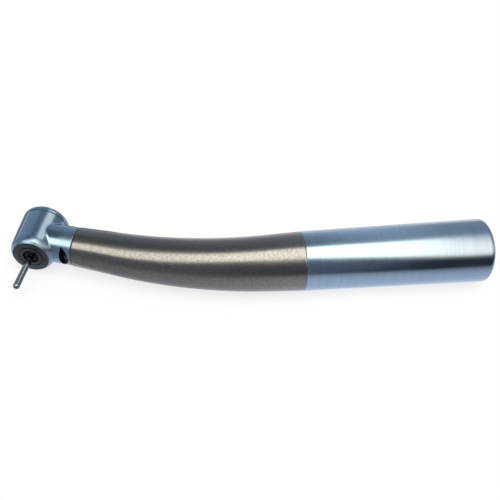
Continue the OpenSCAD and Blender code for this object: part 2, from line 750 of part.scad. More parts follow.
module chuck_spring() {
  r = chuck_r - plunger_c - fit_c - wire_r;
  color([0.7, 0.7, 0.7]) on_head()
    skin(coil(r, r, chuck_top + wire_r + touch, plunger_z - wire_r - touch, chuck_turns));
}
module chuck_plunger() {
  head_r = chuck_r - plunger_c;
  wedge_top = plunger_tip + wedge_h;
  color([0.7, 0.7, 0.72]) on_head() rotate_extrude() polygon([[0, plunger_tip],
    [stem_r - wedge_step, plunger_tip], [stem_r + wedge_step, wedge_top], [stem_r, wedge_top + wedge_step],
    [stem_r, plunger_z], [head_r, plunger_z], [head_r, plunger_top - edge_bevel],
    [head_r - edge_bevel, plunger_top], [0, plunger_top]]);
}
module bur() {
  end_c = [0, bur_tip + bur_r];
  color([0.72, 0.73, 0.72]) on_head() rotate_extrude() polygon(concat(
    arc(end_c, bur_r, -90, 0, 12), [[bur_r, bur_top - edge_bevel], [bur_r - edge_bevel, bur_top],
    [0, bur_top]]));
}

rear_sleeve();
grip_sleeve();
joint_seal();
coupling_socket();
tube_plate();
drive_air_tube();
chip_air_tube();
water_tube();
light_guide();
neck_gasket();
neck();
head_shell();
light_window();
nose_ring();
preload_washer();
front_oring();
front_outer_ring();
back_cap();
bearing_cup();
rear_oring();
rear_outer_ring();
button_spring();
front_inner_ring();
rear_inner_ring();
spindle();
impeller();
chuck();
chuck_spring();
front_balls();
front_cage();
rear_balls();
rear_cage();
push_button();
chuck_plunger();
bur();
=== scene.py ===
"""Looks of a high speed dental handpiece, built around its CAD frame.

Outlines are written in millimetres, in the local frames of the handle, the neck and the head.
Meshes are in metres, in the row frame.
"""
import math

import bmesh
import bpy
import numpy as np
from mathutils import Matrix, Vector


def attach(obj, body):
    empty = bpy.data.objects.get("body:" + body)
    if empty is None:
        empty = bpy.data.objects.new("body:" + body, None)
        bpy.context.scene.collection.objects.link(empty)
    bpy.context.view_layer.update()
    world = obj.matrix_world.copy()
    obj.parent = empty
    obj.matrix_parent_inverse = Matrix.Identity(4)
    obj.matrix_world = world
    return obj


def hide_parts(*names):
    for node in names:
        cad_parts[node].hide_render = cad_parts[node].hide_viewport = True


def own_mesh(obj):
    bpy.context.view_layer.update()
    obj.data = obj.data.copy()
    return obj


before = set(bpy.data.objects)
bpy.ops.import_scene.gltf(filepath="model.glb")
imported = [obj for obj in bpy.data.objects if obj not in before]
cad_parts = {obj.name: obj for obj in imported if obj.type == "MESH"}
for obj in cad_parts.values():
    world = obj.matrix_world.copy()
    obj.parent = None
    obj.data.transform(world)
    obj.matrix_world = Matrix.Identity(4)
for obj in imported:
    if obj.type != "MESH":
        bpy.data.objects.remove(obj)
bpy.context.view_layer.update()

MM = 0.001
SHARP = math.radians(32)

# Counts of sides around and of steps along an outline
SIDES = 192
HEAD_SIDES = 288
NECK_SIDES = 224
ROTOR_SIDES = 96
WINDOW_SIDES = 64
BORE_SIDES = 48
SPRAY_SIDES = 32
GRIP_STEPS = 150
GRIP_BORE_STEPS = 60
CROWN_STEPS = 18
ROUND_STEPS = 16
LOW_STEPS = 14
PROFILE_STEPS = 12
EDGE_STEPS = 6
CORNER_STEPS = 5

# Handle, in millimetres along the centreline from the open end
REAR_L = 48.2
REAR_R = 8.2
JOINT_R = 7.5
REAR_ROUND = 1.35
STRAIGHT_L = 57.0
BEND_R = 110.0
BEND_A = math.radians(19)
FORE_L = 11.2
TIP_R = 4.95
GRIP_WALL = 0.9
SPIGOT_L = 8.0
SPIGOT_R = 6.45
SPIGOT_BORE = 5.2
SEAL_AT = REAR_L + 4.0
SEAL_CORD = 0.38
SEAL_ROOM = 0.05
BEND_END = STRAIGHT_L + BEND_R * BEND_A
SEAM = BEND_END + FORE_L

# Clearances, roundings of edges, and how far a cutter goes past what it cuts
FIT = 0.03
EDGE = 0.15
CAP_EDGE = 0.12
MOUTH_EDGE = 0.1
RIM_EDGE = 0.09
FINE_EDGE = 0.08
SEAM_EDGE = 0.06
SEAM_LIP = 0.05
MARGIN = 0.05
PAST = 0.5

# Coupling socket, along the centreline from the open end
MOUTH = 0.9
MOUTH_FLARE = 0.4
SOCKET_FACE = 0.5
SOCKET_R = 4.75
SOCKET_OUT = 6.25
FLANGE_R = 6.57
FLANGE_END = 3.1
SOCKET_STEP = MOUTH + 20.0
NOSE_BORE_R = 3.8
SOCKET_END = SOCKET_STEP + 5.0
PLATE_END = SOCKET_END + 3.5
LOCK_AT = MOUTH + 6.0
LOCK_W = 1.2
LOCK_D = 0.5
STEP_EDGE = 0.2
SLOT_W = 1.4
SLOT_D = 0.8
SLOT_IN = SOCKET_R + 0.65

# Neck, ahead of the grip sleeve's front end
HEAD_REACH = 10.4
HEAD_LEAN = math.radians(4.5)
NECK_R = 4.85
NECK_SPIGOT_L = 5.0
NECK_SPIGOT_R = 4.0
GASKET_T = 0.3
GASKET_R = 4.75
NECK_FILLET = 0.32
PORT_START = 0.75
PORT_DEPTH = 1.1
PORT_A = math.radians(30)
PORT_FRONT = 0.45
WINDOW_R = 0.55
WINDOW_L = 1.6
WINDOW_ROOM = 0.02

# Passages of the neck: place across it, and the radii of the bore and of the seat for the tube's end
TUBE_SEAT = 3.0
SPRAY_WALL = 0.2
DRIVE = (2.1, 0.0, 0.95, 1.2)
EXHAUST = (-2.1, 0.0, 1.1, 1.1)
SPRAY_TUBES = [(x, -2.2, 0.4, 0.55) for x in (-1.55, 1.55)]
GUIDE = (0.0, -2.95, 0.6, 0.6)

# Head, as heights over the neck's axis towards the button
HEAD_MESH_STEP = 0.16
RIM_Z = -5.6
RIM_R = 4.99
FACE_Z = RIM_Z - 0.55
FACE_R = 4.5
LOW_R = 5.46
LOW_Z = RIM_Z + 1.9
FOOT_Z = RIM_Z + 0.665
CAP_TOP = 7.0
TOP_R = 5.92
TOP_ROUND = 1.45
TOP_Z = CAP_TOP - TOP_ROUND
CAP_SEAM = CAP_TOP - 2.1
SEAM_GAP = 0.13
SEAM_DEPTH = 0.3
LIP_Z = CAP_TOP - 0.6
WEB_Z = CAP_TOP - 2.46
BEARING_W = 2.38
WASHER_ROOM = 0.2
FLOOR_Z = FACE_Z + 1.1
LEDGE_Z = FLOOR_Z + WASHER_ROOM + BEARING_W
CHAMBER_R = 4.75
SEAT_R = 3.225
SEAL_GROOVE_R = 3.835
SEAL_GROOVE_H = 0.66
SKIRT_R = CHAMBER_R - FIT
POCKET_R = SKIRT_R - 0.37
NOSE_RING_R = 3.0
NOSE_HOLE_R = 1.95
NOSE_SLOT = 0.2
NOSE_SLOT_D = 0.4
NOSE_SLOT_EDGE = 0.04
NOSE_GROOVE = 0.06
NOSE_GROOVE_D = 0.05
NOSE_FLANGE_Z = FLOOR_Z - 0.4
SPRAY_R = 0.24
SPRAY_OUT = 3.52
SPRAY_TURN = math.radians(10)
SPRAY_FOOT = Vector((SPRAY_OUT * math.cos(SPRAY_TURN), SPRAY_OUT * math.sin(SPRAY_TURN), FACE_Z))
SPRAY_TOP = Vector((CHAMBER_R + 0.45, 1.55, LEDGE_Z - 0.25))

# Turbine and button
SPINDLE_R = 1.58
SHAFT_R = 2.05
SPINDLE_Z = FACE_Z + 0.2
SPINDLE_TOP = WEB_Z - 0.25
SKIRT_Z = SPINDLE_TOP - BEARING_W
CHUCK_R = 1.22
CHUCK_Z = SPINDLE_Z + 1.35
BUR_BORE = 0.84
BUR_R = 0.8
BUR_TIP = -16.7
BUR_TOP = 0.9
BUTTON_R = 3.6
BUTTON_HOLE_R = BUTTON_R + 0.08
BUTTON_FLANGE_R = BUTTON_R + 0.55
BUTTON_CROWN = 0.25
BUTTON_PLAY = 0.02
FLANGE_Z = LIP_Z - 0.5
BOSS_R = 1.2
BOSS_Z = WEB_Z + 0.35


# Frames
def placed(origin, x, y, z):
    """Local frame at a point given in millimetres in the row frame."""
    turn = Matrix((x, y, z)).transposed().to_4x4()
    return Matrix.Translation(Vector(origin) * MM) @ turn


def axis_at(s):
    """Point of the centreline, s millimetres from the open end, and way across in the bend's plane."""
    if s < STRAIGHT_L:
        return Vector((MOUTH - s, 0, 0)), Vector((0, 1, 0))
    turn = min((s - STRAIGHT_L) / BEND_R, BEND_A)
    point = Vector((MOUTH - STRAIGHT_L - BEND_R * math.sin(turn), BEND_R * (1 - math.cos(turn)), 0))
    past = max(0.0, s - BEND_END)
    point += past * Vector((-math.cos(turn), math.sin(turn), 0))
    return point, Vector((math.sin(turn), math.cos(turn), 0))


HEAD_A = BEND_A - HEAD_LEAN
HANDLE = placed((MOUTH, 0, 0), (0, 0, 1), (0, 1, 0), (-1, 0, 0))
NECK = placed(axis_at(SEAM)[0], (0, 0, 1), (math.sin(BEND_A), math.cos(BEND_A), 0),
              (-math.cos(BEND_A), math.sin(BEND_A), 0))
HEAD = placed(axis_at(SEAM + HEAD_REACH)[0], (math.cos(HEAD_A), -math.sin(HEAD_A), 0), (0, 0, -1),
              (math.sin(HEAD_A), math.cos(HEAD_A), 0))
NECK_IN_HEAD = HEAD.inverted() @ NECK


# Mesh helpers
def mix(a, b, t):
    return a + (b - a) * t


def spaced(a, b, count):
    """Evenly spaced numbers from a to b."""
    return [mix(a, b, k / (count - 1)) for k in range(count)]


def rounded(corners, steps=CORNER_STEPS):
    """Closed outline through corners (r, z). A third number is how far the corner is rounded off."""
    outline = []
    for i, corner in enumerate(corners):
        point = Vector(corner[:2])
        if len(corner) == 2:
            outline.append(point)
            continue
        back = Vector(corners[i - 1][:2]) - point
        ahead = Vector(corners[(i + 1) % len(corners)][:2]) - point
        start = point + back.normalized() * min(corner[2], back.length / 2)
        end = point + ahead.normalized() * min(corner[2], ahead.length / 2)
        for k in range(steps + 1):
            t = k / steps
            outline.append(start.lerp(point, t).lerp(point.lerp(end, t), t))
    return outline


def arc(centre, radius, start, end, steps):
    """Points of an arc between two angles in degrees."""
    turns = [math.radians(a) for a in spaced(start, end, steps + 1)]
    return [(centre[0] + radius * math.cos(a), centre[1] + radius * math.sin(a)) for a in turns]


def dense(outline, step):
    """Outline with extra points, so that no stretch is longer than step."""
    points = []
    for a, b in zip(outline, outline[1:] + outline[:1]):
        a, b = Vector(a), Vector(b)
        count = max(1, math.ceil((b - a).length / step))
        points += [a.lerp(b, k / count) for k in range(count)]
    return points


def make(name, mesh, place=None):
    """Object of a bmesh, smooth apart from its sharp edges."""
    bmesh.ops.recalc_face_normals(mesh, faces=mesh.faces)
    data = bpy.data.meshes.new(name)
    mesh.to_mesh(data)
    mesh.free()
    smooth(data)
    obj = bpy.data.objects.new(name, data)
    obj.matrix_world = place or Matrix()
    bpy.context.scene.collection.objects.link(obj)
    return obj


def smooth(data):
    """Smooth shading, apart from sharp edges."""
    data.shade_smooth()
    data.set_sharp_from_angle(angle=SHARP)


def lathe(name, outline, place, sides=SIDES):
    """Closed solid of revolution about the Z axis of a frame, from a loop of (r, z) points."""
    mesh = bmesh.new()
    turns = [2 * math.pi * i / sides for i in range(sides)]
    rings = []
    for r, z in outline:
        around = [0.0] if r < 1e-6 else turns
        ring = [(r * MM * math.cos(a), r * MM * math.sin(a), z * MM) for a in around]
        rings.append([mesh.verts.new(point) for point in ring])
    for low, high in zip(rings, rings[1:] + rings[:1]):
        if len(low) == len(high) == 1:
            continue
        for i in range(sides):
            j = (i + 1) % sides
            corners = (low[i % len(low)], low[j % len(low)], high[j % len(high)], high[i % len(high)])
            mesh.faces.new(dict.fromkeys(corners))
    return make(name, mesh, place)


def skin(name, rings):
    """Closed shell over a loop of rings of points in millimetres, in the row frame."""
    mesh = bmesh.new()
    grid = [[mesh.verts.new(p * MM) for p in ring] for ring in rings]
    for low, high in zip(grid, grid[1:] + grid[:1]):
        for i in range(len(low)):
            j = (i + 1) % len(low)
            mesh.faces.new((low[i], low[j], high[j], high[i]))
    return make(name, mesh)


def prism(name, outline, half, place):
    """Prism along X from -half to half over a loop of (z, y) points."""
    mesh = bmesh.new()
    ends = [[mesh.verts.new((x * MM, y * MM, z * MM)) for z, y in outline] for x in (-half, half)]
    for i in range(len(outline)):
        j = (i + 1) % len(outline)
        mesh.faces.new((ends[0][i], ends[0][j], ends[1][j], ends[1][i]))
    mesh.faces.new(ends[0])
    mesh.faces.new(ends[1])
    return make(name, mesh, place)


def combine(base, others, operation):
    """Joins other solids to base, or cuts them out of it, and deletes them."""
    for other in others:
        step = base.modifiers.new("combine", "BOOLEAN")
        step.operation = operation
        step.solver = "MANIFOLD"
        step.object = other
    bpy.context.view_layer.update()
    graph = bpy.context.evaluated_depsgraph_get()
    data = bpy.data.meshes.new_from_object(base.evaluated_get(graph))
    base.modifiers.clear()
    base.data = data
    smooth(data)
    for other in others:
        bpy.data.objects.remove(other)
    return base


def fit(obj, body, material, slot, *nodes):
    """Puts a finished piece in place of CAD nodes."""
    obj.data.materials.clear()
    obj.data.materials.append(material)
    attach(obj, body)
    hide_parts(*nodes)
    return obj


# Materials
def new_material(name, **values):
    """Material with a shader node whose constant values are set on its own sockets."""
    material = bpy.data.materials.new(name)
    material.use_nodes = True
    shader = material.node_tree.nodes["Principled BSDF"]
    for socket, value in values.items():
        shader.inputs[socket.replace("_", " ")].default_value = value
    return material, material.node_tree, shader


def add(tree, kind, links=None, **settings):
    """New node with its settings, and with inputs that are values or other nodes' outputs."""
    node = tree.nodes.new(kind)
    for key, value in settings.items():
        setattr(node, key, value)
    for key, value in (links or {}).items():
        if isinstance(value, bpy.types.NodeSocket):
            tree.links.new(value, node.inputs[key])
        else:
            node.inputs[key].default_value = value
    return node


def noise(tree, per_metre, stretch=(1, 1, 1), detail=3.0):
    """Noise in the piece's own coordinates, with a number of grains per metre."""
    where = add(tree, "ShaderNodeTexCoord").outputs["Object"]
    scaled = add(tree, "ShaderNodeMapping", {"Vector": where, "Scale": stretch}).outputs["Vector"]
    links = {"Vector": scaled, "Scale": per_metre, "Detail": detail}
    return add(tree, "ShaderNodeTexNoise", links).outputs["Fac"]


def own_place(tree):
    """Place on the piece, in its own coordinates."""
    where = add(tree, "ShaderNodeTexCoord").outputs["Object"]
    return add(tree, "ShaderNodeSeparateXYZ", {"Vector": where}).outputs


def ranged(tree, value, low, high, start=0.3, end=0.7):
    """Value brought from start..end to low..high."""
    links = {"Value": value, "From Min": start, "From Max": end, "To Min": low, "To Max": high}
    return add(tree, "ShaderNodeMapRange", links).outputs["Result"]


def track(tree, value, start, end):
    """Number that changes evenly between two (value, number) points and stays the same beyond them."""
    return ranged(tree, value, start[1], end[1], start[0], end[0])


def shaped(tree, value, start, end):
    """Soft step of a value from 0 at start to 1 at end."""
    links = {"Value": value, "From Min": start, "From Max": end}
    return add(tree, "ShaderNodeMapRange", links, interpolation_type="SMOOTHSTEP").outputs["Result"]


def calc(tree, operation, *values):
    """Result of a math node on values or other nodes' outputs."""
    return add(tree, "ShaderNodeMath", dict(enumerate(values)), operation=operation).outputs["Value"]


def chain(tree, operation, first, *others):
    """Values joined one after the other by a math operation."""
    for other in others:
        first = calc(tree, operation, first, other)
    return first


def band(tree, value, start, end, soft_start, soft_end):
    """1 between start and end, with soft edges."""
    rise = calc(tree, "DIVIDE", calc(tree, "SUBTRACT", value, start), soft_start)
    fall = calc(tree, "DIVIDE", calc(tree, "SUBTRACT", end, value), soft_end)
    return calc(tree, "MULTIPLY", shaped(tree, rise, -1.0, 1.0), shaped(tree, fall, -1.0, 1.0))


def lit(tree, strength, colour):
    """Colour times a strength."""
    links = {0: colour, "Scale": strength}
    return add(tree, "ShaderNodeVectorMath", links, operation="SCALE").outputs["Vector"]


def tones(tree, value, dark, light):
    """Colour between two tones."""
    node = add(tree, "ShaderNodeMix", {"Factor": value}, data_type="RGBA")
    node.inputs["A"].default_value = (*dark, 1)
    node.inputs["B"].default_value = (*light, 1)
    colour_output = 2
    return node.outputs[colour_output]


def finish_surface(tree, shader, colour, rough, height, depth, strength):
    """Links colour, roughness and a bump of some depth in millimetres to the shader."""
    tree.links.new(colour, shader.inputs["Base Color"])
    tree.links.new(rough, shader.inputs["Roughness"])
    bump = add(tree, "ShaderNodeBump", {"Height": height, "Strength": strength, "Distance": depth * MM})
    tree.links.new(bump.outputs["Normal"], shader.inputs["Normal"])


# Grains per metre, stretch along X, Y and Z, depths in millimetres and strengths of the finishes
FINE_STRETCH = (0.002, 0.002, 1)
LINE_DEPTH = 0.002
LINE_BUMP = 0.15
BRUSH_LINES = 1300.0
BRUSH_STRETCH = (0.015, 0.015, 1)
BRUSH_SHADE = 1.8
SMEARS = 140.0
NECK_MATT_RUN = 1.5
PITS = 5200.0
PIT_DEPTH = 0.006
PIT_BUMP = 0.26
PIT_SPREAD = 0.03
SPECKS = 1900.0
STUFF_BUMP = 0.2
STUFF_SPREAD = 0.06


def turned_metal(name, dark, light, rough, spread, lines=9000.0, anisotropic=0.0, rim_matt=0.0):
    """Metal with fine lines around the piece's Z axis and faint cloudy smears.

    rim_matt is how much rougher the head's lower rim is. The neck is rougher by half as much.
    """
    material, tree, shader = new_material(name, Metallic=1.0, Anisotropic=anisotropic)
    fine = noise(tree, lines, FINE_STRETCH, 2.0)
    brushed = noise(tree, BRUSH_LINES, BRUSH_STRETCH, 2.0)
    smear = noise(tree, SMEARS, detail=4.0)
    if anisotropic:
        tangent = add(tree, "ShaderNodeTangent", direction_type="RADIAL", axis="Z")
        tree.links.new(tangent.outputs["Tangent"], shader.inputs["Tangent"])
    average = calc(tree, "MULTIPLY", calc(tree, "ADD", fine, smear), 0.5)
    rough_map = ranged(tree, average, rough - spread, rough + spread)
    if rim_matt:
        place = own_place(tree)
        rim = track(tree, place["Z"], (RIM_Z * MM, rim_matt), (LOW_Z * MM, 0.0))
        neck_start, neck_end = TOP_R * MM, (TOP_R + NECK_MATT_RUN) * MM
        neck = track(tree, place["X"], (neck_start, 0.0), (neck_end, rim_matt / 2))
        rough_map = calc(tree, "ADD", rough_map, calc(tree, "MAXIMUM", rim, neck))
    shade = calc(tree, "MULTIPLY_ADD", calc(tree, "SUBTRACT", brushed, 0.5), BRUSH_SHADE, smear)
    colour = tones(tree, shade, dark, light)
    finish_surface(tree, shader, colour, rough_map, fine, LINE_DEPTH, LINE_BUMP)
    return material


def blasted_metal(name, dark, light, rough):
    """Bead-blasted metal: fine pits and grains of slightly different tone."""
    material, tree, shader = new_material(name, Metallic=1.0)
    grain = noise(tree, PITS, detail=2.0)
    specks = noise(tree, SPECKS, detail=3.0)
    colour = tones(tree, ranged(tree, specks, 0.0, 1.0), dark, light)
    rough_map = ranged(tree, grain, rough - PIT_SPREAD, rough + PIT_SPREAD)
    finish_surface(tree, shader, colour, rough_map, grain, PIT_DEPTH, PIT_BUMP)
    return material


def plain_stuff(name, dark, light, rough, grain=1500.0, depth=0.01, **values):
    """Rubber, resin, glass or ceramic with a fine grain."""
    material, tree, shader = new_material(name, **values)
    fine = noise(tree, grain)
    colour = tones(tree, fine, dark, light)
    rough_map = ranged(tree, fine, rough - STUFF_SPREAD, rough + STUFF_SPREAD)
    finish_surface(tree, shader, colour, rough_map, fine, depth, STUFF_BUMP)
    return material


STEEL = turned_metal("satin_steel", (0.249, 0.35, 0.475), (0.286, 0.388, 0.52), 0.2, 0.03,
                     anisotropic=0.35)
HEAD_STEEL = turned_metal("head_steel", (0.205, 0.305, 0.43), (0.235, 0.335, 0.46), 0.18, 0.03,
                          rim_matt=0.17)
GRIP = blasted_metal("grip_titanium", (0.164, 0.164, 0.168), (0.216, 0.215, 0.219), 0.24)
# Lower face of the head and the nose ring: a much darker copy of the head's steel, with shade painted
# into its colour
FACE_SHADE = turned_metal("face_steel", (0.055, 0.063, 0.077), (0.085, 0.095, 0.112), 0.38, 0.05,
                    lines=14000.0)
SOCKET = turned_metal("socket_steel", (0.50, 0.51, 0.52), (0.56, 0.57, 0.58), 0.22, 0.05)
BRASS = turned_metal("plate_brass", (0.60, 0.46, 0.22), (0.68, 0.54, 0.28), 0.28, 0.05)
TUBE = turned_metal("tube_steel", (0.55, 0.56, 0.57), (0.60, 0.61, 0.62), 0.25, 0.04, lines=2500.0)
SPRING = turned_metal("spring_steel", (0.42, 0.42, 0.41), (0.50, 0.50, 0.49), 0.28, 0.04)
BEARING = turned_metal("bearing_steel", (0.58, 0.58, 0.59), (0.63, 0.63, 0.64), 0.12, 0.03)
# Spindle and chuck plunger: near-black, with the shade of their recess painted into the steel's colour
SPINDLE_SHADE = turned_metal("spindle_steel", (0.012, 0.013, 0.016), (0.024, 0.026, 0.03), 0.34, 0.04)
IMPELLER = blasted_metal("impeller_alloy", (0.36, 0.38, 0.42), (0.44, 0.46, 0.50), 0.34)
CHUCK = turned_metal("chuck_carbide", (0.48, 0.44, 0.33), (0.56, 0.52, 0.40), 0.24, 0.04)
BUR = turned_metal("bur_steel", (0.2, 0.245, 0.3), (0.24, 0.29, 0.35), 0.13, 0.03, lines=12000.0)
RUBBER = plain_stuff("seal_rubber", (0.010, 0.010, 0.011), (0.022, 0.022, 0.024), 0.6)
BALL = plain_stuff("bearing_ball", (0.72, 0.72, 0.70), (0.80, 0.80, 0.78), 0.12, depth=0.001)
CAGE = plain_stuff("cage_resin", (0.20, 0.12, 0.05), (0.32, 0.21, 0.10), 0.5)
# Near-black painted shade for the inside of the light port and of the spray hole
PORT_SHADE = plain_stuff("port_painted_shade", (0.001, 0.002, 0.004), (0.003, 0.004, 0.006), 0.6,
                      Specular_IOR_Level=0.05)
# End of the light port's glass rod: near-black, with the port's shade painted into its colour
WINDOW_SHADE = plain_stuff("window_painted_shade", (0.020, 0.026, 0.034), (0.034, 0.042, 0.052), 0.12, depth=0.001,
                     Coat_Weight=0.1, Coat_Roughness=0.1)
GLASS = plain_stuff("light_glass", (0.75, 0.80, 0.84), (0.86, 0.90, 0.93), 0.12, depth=0.001,
                    Transmission_Weight=0.85, IOR=1.52)


# Handle pieces
def rear_at(s):
    return mix(REAR_R, JOINT_R, s / REAR_L)


def grip_at(s):
    return mix(JOINT_R, TIP_R, (s - REAR_L) / (SEAM - REAR_L))


def build_rear_sleeve():
    end = arc((rear_at(REAR_ROUND) - REAR_ROUND, REAR_ROUND), REAR_ROUND, -90, 0, ROUND_STEPS)
    bore = SOCKET_OUT + FIT
    groove_low = SEAL_AT - SEAL_CORD - SEAL_ROOM
    groove_high = SEAL_AT + SEAL_CORD + SEAL_ROOM
    groove_r = SPIGOT_R - 2 * SEAL_CORD - SEAL_ROOM
    tip = REAR_L + SPIGOT_L
    corners = [*end, (JOINT_R, REAR_L, EDGE), (SPIGOT_R, REAR_L), (SPIGOT_R, groove_low),
               (groove_r, groove_low), (groove_r, groove_high), (SPIGOT_R, groove_high),
               (SPIGOT_R, tip, EDGE), (SPIGOT_BORE, tip, EDGE), (SPIGOT_BORE, PLATE_END),
               (bore, PLATE_END), (bore, FLANGE_END), (FLANGE_R + FIT, FLANGE_END),
               (FLANGE_R + FIT, 0, MOUTH_EDGE)]
    obj = lathe("rear_sleeve_shell", rounded(corners), HANDLE)
    return fit(obj, "handle", STEEL, "satin_steel", "rear_sleeve")


def path_ring(s, radius, sides=SIDES):
    """Ring around the centreline."""
    point, across = axis_at(s)
    turns = [2 * math.pi * i / sides for i in range(sides)]
    return [point + radius * (math.cos(a) * across + math.sin(a) * Vector((0, 0, 1))) for a in turns]


def build_grip_sleeve():
    rear_edge = arc((REAR_L + EDGE, JOINT_R - EDGE), EDGE, 180, 90, EDGE_STEPS)
    front_edge = arc((SEAM - SEAM_EDGE, TIP_R - SEAM_EDGE), SEAM_EDGE, 90, 0, EDGE_STEPS)
    body = [(s, grip_at(s)) for s in spaced(REAR_L + EDGE, SEAM - SEAM_EDGE, GRIP_STEPS)[1:-1]]
    spigot_end, neck_start = REAR_L + SPIGOT_L, SEAM - NECK_SPIGOT_L
    inner = [(s, grip_at(s) - GRIP_WALL) for s in spaced(neck_start, spigot_end, GRIP_BORE_STEPS)]
    seats = [(SEAM, NECK_SPIGOT_R + FIT), (neck_start, NECK_SPIGOT_R + FIT)]
    rear_seat = [(spigot_end, SPIGOT_R + FIT), (REAR_L, SPIGOT_R + FIT)]
    loop = [*rear_edge, *body, *front_edge, *seats, *inner, *rear_seat]
    obj = skin("grip_sleeve_shell", [path_ring(s, r) for s, r in loop])
    return fit(obj, "handle", GRIP, "grip_titanium", "grip_sleeve")


def build_coupling_socket():
    lock_end, lock_r = LOCK_AT + LOCK_W, SOCKET_R + LOCK_D
    corners = [(SOCKET_R + MOUTH_FLARE, SOCKET_FACE, FINE_EDGE), (FLANGE_R, SOCKET_FACE, EDGE),
               (FLANGE_R, FLANGE_END - FIT), (SOCKET_OUT, FLANGE_END - FIT), (SOCKET_OUT, SOCKET_END),
               (NOSE_BORE_R, SOCKET_END), (NOSE_BORE_R, SOCKET_STEP, STEP_EDGE), (SOCKET_R, SOCKET_STEP),
               (SOCKET_R, lock_end, SEAM_EDGE), (lock_r, lock_end, MOUTH_EDGE),
               (lock_r, LOCK_AT, MOUTH_EDGE), (SOCKET_R, LOCK_AT, SEAM_EDGE),
               (SOCKET_R, MOUTH, MOUTH_EDGE)]
    obj = lathe("coupling_socket_ring", rounded(corners), HANDLE)
    place = HANDLE @ Matrix.Rotation(math.pi / 2, 4, "Z")
    low, high = SOCKET_FACE - SLOT_D, SOCKET_FACE + SLOT_D
    slots = []
    for side in (-1, 1):
        far = side * (FLANGE_R + PAST)
        near = side * SLOT_IN
        outline = [(low, near), (low, far), (high, far), (high, near)]
        slots.append(prism(f"slot_{side}", outline, SLOT_W / 2, place))
    combine(obj, slots, "DIFFERENCE")
    return fit(obj, "handle", SOCKET, "socket_steel", "coupling_socket")


def build_neck_gasket():
    corners = [(NECK_SPIGOT_R + FIT, 0), (GASKET_R, 0, FINE_EDGE), (GASKET_R, GASKET_T, FINE_EDGE),
               (NECK_SPIGOT_R + FIT, GASKET_T)]
    obj = lathe("neck_gasket_ring", rounded(corners), NECK)
    return fit(obj, "handle", RUBBER, "seal_rubber", "neck_gasket")


# Head pieces
def wall_at(z):
    return mix(LOW_R, TOP_R, (z - LOW_Z) / (TOP_Z - LOW_Z))


def low_curve(steps=LOW_STEPS):
    """Lower rounding of the head, from the rim up to the wall."""
    a, b, c = Vector((RIM_R, RIM_Z)), Vector((wall_at(FOOT_Z), FOOT_Z)), Vector((LOW_R, LOW_Z))
    return [tuple(a.lerp(b, k / steps).lerp(b.lerp(c, k / steps), k / steps)) for k in range(steps + 1)]


TOP_CENTRE = (TOP_R - TOP_ROUND, TOP_Z)
SEAM_R = wall_at(CAP_SEAM) - SEAM_DEPTH


def head_solid():
    """Whole outside of the head below the cap's seam, as a loop that starts and ends on the axis."""
    edge = CAP_SEAM - SEAM_GAP
    wall = [*low_curve(), (wall_at(edge), edge, SEAM_LIP)]
    rim = [(*wall[0], RIM_EDGE)]
    groove = [(SEAM_R, edge), (SEAM_R, CAP_SEAM)]
    return rounded([(0, FACE_Z), (FACE_R, FACE_Z, CAP_EDGE), *rim, *wall[1:], *groove, (0, CAP_SEAM)])


def head_profile():
    """Outside of the head and its cap, without their seam."""
    top = arc(TOP_CENTRE, TOP_ROUND, 0, 90, PROFILE_STEPS)
    return [(0, FACE_Z), (FACE_R, FACE_Z), *low_curve(), *top, (0, CAP_TOP)]


def outline_distance(points, outline):
    """Signed distance of (r, z) points to a closed outline, negative inside."""
    a = np.array([tuple(p) for p in outline])
    edge = np.roll(a, -1, axis=0) - a
    offset = points[:, None] - a[None]
    along = np.clip((offset * edge).sum(2) / np.maximum((edge ** 2).sum(1), 1e-12), 0, 1)
    near = np.sqrt(((offset - along[..., None] * edge) ** 2).sum(2)).min(1)
    b = a + edge
    level = points[:, 1:2]
    reach = edge[:, 0] * (level - a[:, 1]) / np.where(edge[:, 1] == 0, 1e-12, edge[:, 1]) + a[:, 0]
    crossed = ((a[:, 1] > level) != (b[:, 1] > level)) & (points[:, :1] < reach)
    return np.where(crossed.sum(1) % 2 == 1, -near, near)


def fillet_neck(obj, outline):
    """Moves the points of the joined head and neck out onto a rounded fillet where the two meet."""
    data = obj.data
    points = np.empty(len(data.vertices) * 3)
    data.vertices.foreach_get("co", points)
    points = points.reshape(-1, 3) / MM
    direction = np.array(NECK_IN_HEAD.to_3x3().col[2]) * -1
    reach = NECK_FILLET * (1.0 - 1e-6)
    nowhere_near = 1e3
    rounds = 8

    def to_head(p):
        return outline_distance(np.column_stack([np.hypot(p[:, 0], p[:, 1]), p[:, 2]]), outline)

    def to_neck(p):
        along = p @ direction
        across = np.linalg.norm(p - along[:, None] * direction, axis=1) - NECK_R
        return np.where(along > 0, across, nowhere_near)

    def slope(distance, p):
        step = 0.01
        shifts = np.eye(3) * step
        return np.stack([(distance(p + s) - distance(p - s)) / (2 * step) for s in shifts], axis=1)

    for _ in range(rounds):
        d_head, d_neck = to_head(points), to_neck(points)
        near = np.maximum(d_head, d_neck) < reach
        p = points[near]
        weight_head = (NECK_FILLET - d_head[near])[:, None]
        weight_neck = (NECK_FILLET - d_neck[near])[:, None]
        depth = NECK_FILLET - np.hypot(weight_head[:, 0], weight_neck[:, 0])
        out = weight_head * slope(to_head, p) + weight_neck * slope(to_neck, p)
        out /= np.maximum(np.linalg.norm(out, axis=1, keepdims=True), 1e-9)
        points[near] = p - depth[:, None] * out
    data.vertices.foreach_set("co", (points * MM).ravel())
    data.update()


def port_notch():
    """Cutter for the light port on the underside of the neck."""
    run = PORT_DEPTH / math.tan(PORT_A)
    root = (PORT_START + run, PORT_DEPTH - NECK_R)
    front = root[0] + PORT_FRONT
    below = -NECK_R - PORT_DEPTH
    outline = [(PORT_START - run, below), root, (front, -NECK_R), (front, below)]
    return prism("port_notch", outline, NECK_R, NECK)


